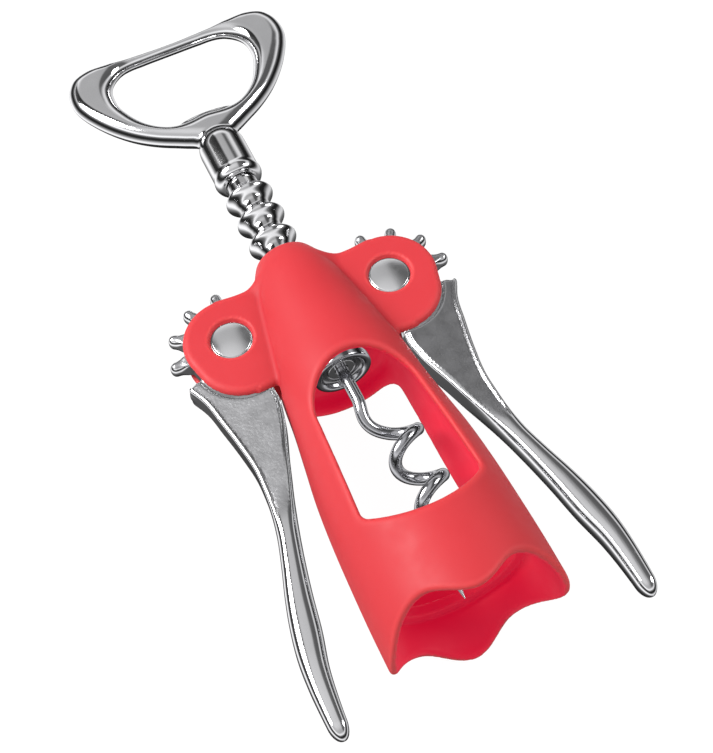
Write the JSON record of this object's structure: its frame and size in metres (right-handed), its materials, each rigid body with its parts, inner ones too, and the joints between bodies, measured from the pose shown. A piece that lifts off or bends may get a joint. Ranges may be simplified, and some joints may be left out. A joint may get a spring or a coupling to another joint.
{
  "type": "wing corkscrew",
  "caption": "Wing corkscrew: a one-piece bell body on the bottle, geared levers that lift a ringed rack and worm, and a cap-lifting loop handle.",
  "frame": {"origin": "centre of the ledge inside the mouth that sits on the bottle's lip, on the worm axis; the corkscrew lies on its back with its levers closed", "axes": "+Y up the worm axis from the bottle to the handle, +Z out of the front, X from the left lever to the right lever"},
  "size_m": [0.069, 0.1753, 0.0384],
  "materials": {
    "body_plastic": "satin moulded coral red",
    "chrome_cast": "polished chrome plate on a casting",
    "pin_steel": "polished pin ends",
    "worm_steel": "nickel-plated steel wire, a little darker than the chrome"
  },
  "bodies": {
    "frame": {"body": "body_plastic", "pivot_pin_left": "pin_steel", "pivot_pin_right": "pin_steel"},
    "lever_left": {"lever_left": "chrome_cast"},
    "lever_right": {"lever_right": "chrome_cast"},
    "rack": {"rack_sleeve": "chrome_cast", "end_collar": "worm_steel"},
    "handle": {"opener_handle": "chrome_cast", "worm": "worm_steel"}
  },
  "joints": [
    {"name": "lever_left_hinge", "type": "hinge", "parent": "frame", "child": "lever_left", "pos_m": [-0.0184, 0.0675, 0], "axis": [0, 0, -1], "range_deg": [0, 150]},
    {"name": "lever_right_hinge", "type": "hinge", "parent": "frame", "child": "lever_right", "pos_m": [0.0184, 0.0675, 0], "axis": [0, 0, 1], "range_deg": [0, 150]},
    {"name": "rack_slide", "type": "slide", "parent": "frame", "child": "rack", "axis": [0, 1, 0], "range_m": [-0.0323, 0]},
    {"name": "handle_spin", "type": "hinge", "parent": "rack", "child": "handle", "pos_m": [0, 0.1, 0], "axis": [0, 1, 0], "continuous": true}
  ],
  "couplings": [
    {"joint": "lever_right_hinge", "follows": "lever_left_hinge", "ratio": 1},
    {"joint": "rack_slide", "follows": "lever_left_hinge", "m_per_rad": -0.01233}
  ]
}
